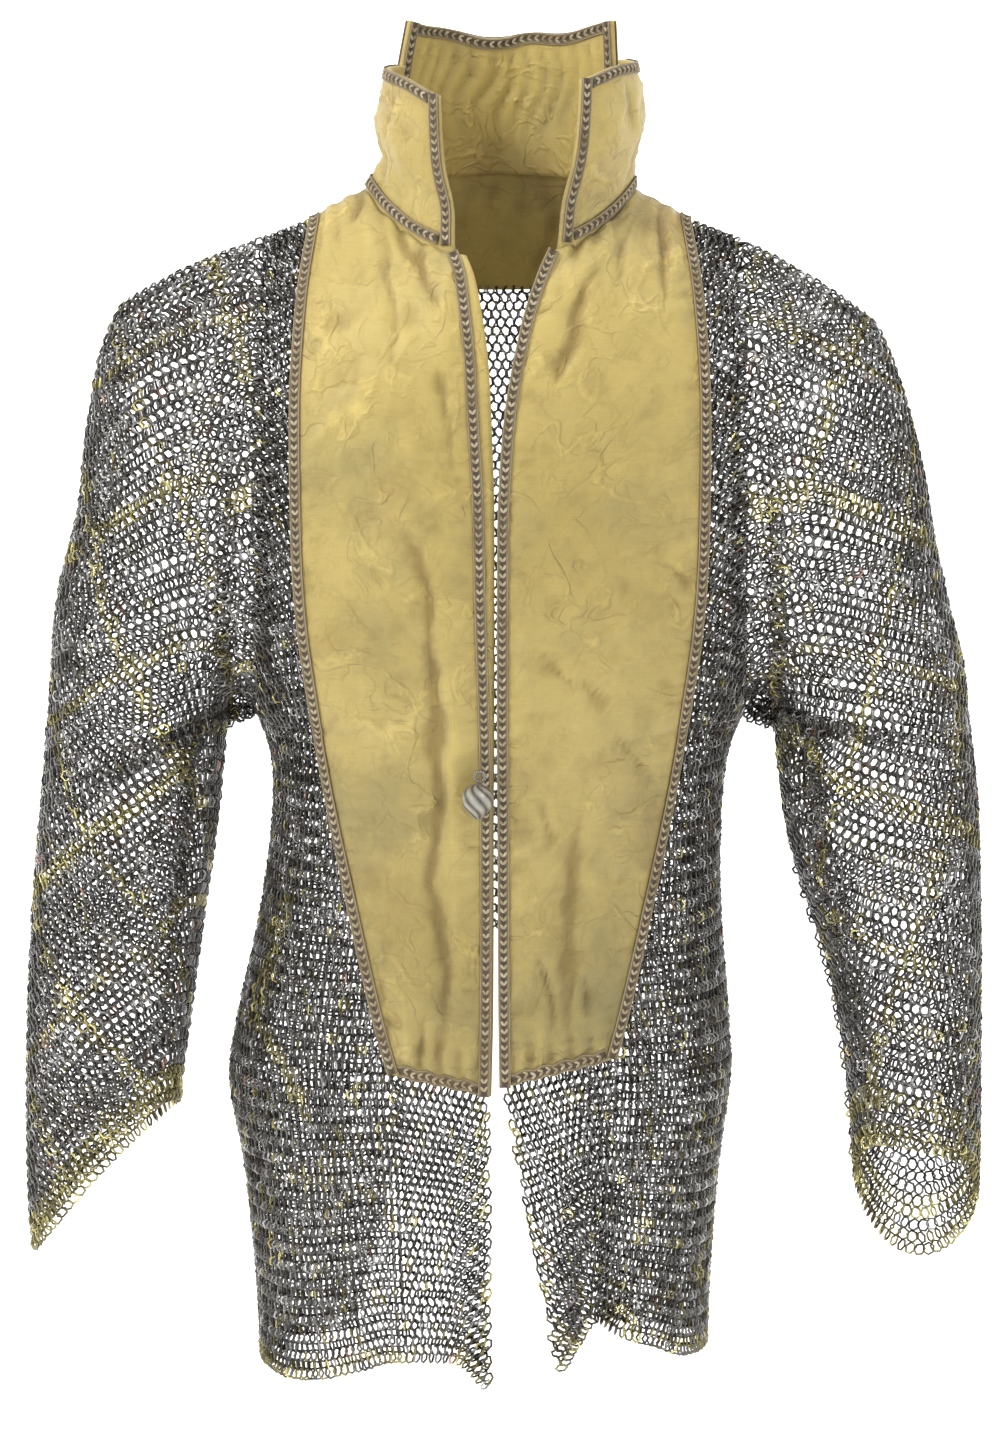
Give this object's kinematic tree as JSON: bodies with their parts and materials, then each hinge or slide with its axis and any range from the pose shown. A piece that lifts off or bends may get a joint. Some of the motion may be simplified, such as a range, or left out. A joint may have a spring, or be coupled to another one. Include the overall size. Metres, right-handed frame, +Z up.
{
  "type": "chainmail hauberk",
  "caption": "Open-fronted mail shirt with long sleeves, quilted silk fronts, a standing silk collar in three pieces, braided edges and one ball button.",
  "frame": {"origin": "on the line through both shoulder tops, under the middle of the neck opening", "axes": "+Z up through the neck, +Y towards the wearer's back, +X towards the wearer's left hand"},
  "size_m": [0.6212, 0.2407, 0.8773],
  "materials": {
    "mail": "worn iron rings with brass rings among them",
    "silk": "thin crinkled silk over light padding",
    "braid": "plaited cotton and metal thread",
    "button": "tarnished metal thread wrapped on a ball"
  },
  "bodies": {
    "root": {"braid_collar_back_end_1": "braid", "braid_collar_back_end_2": "braid", "braid_collar_back_seam": "braid", "braid_collar_back_top": "braid", "braid_collar_left_end_1": "braid", "braid_collar_left_end_2": "braid", "braid_collar_left_seam": "braid", "braid_collar_left_top": "braid", "braid_collar_right_end_1": "braid", "braid_collar_right_end_2": "braid", "braid_collar_right_seam": "braid", "braid_collar_right_top": "braid", "braid_silk_front_left_hem": "braid", "braid_silk_front_left_opening": "braid", "braid_silk_front_left_side": "braid", "braid_silk_front_right_hem": "braid", "braid_silk_front_right_opening": "braid", "braid_silk_front_right_side": "braid", "braid_silk_yoke_hem": "braid", "button_ball": "button", "button_loop": "button", "collar_back": "silk", "collar_left": "silk", "collar_right": "silk", "mail_back": "mail", "mail_back_skirt_left": "mail", "mail_back_skirt_right": "mail", "mail_chest_left": "mail", "mail_chest_right": "mail", "mail_skirt_left": "mail", "mail_skirt_right": "mail", "silk_front_left": "silk", "silk_front_right": "silk", "silk_yoke": "silk", "sleeve_left": "mail", "sleeve_right": "mail"}
  },
  "joints": []
}
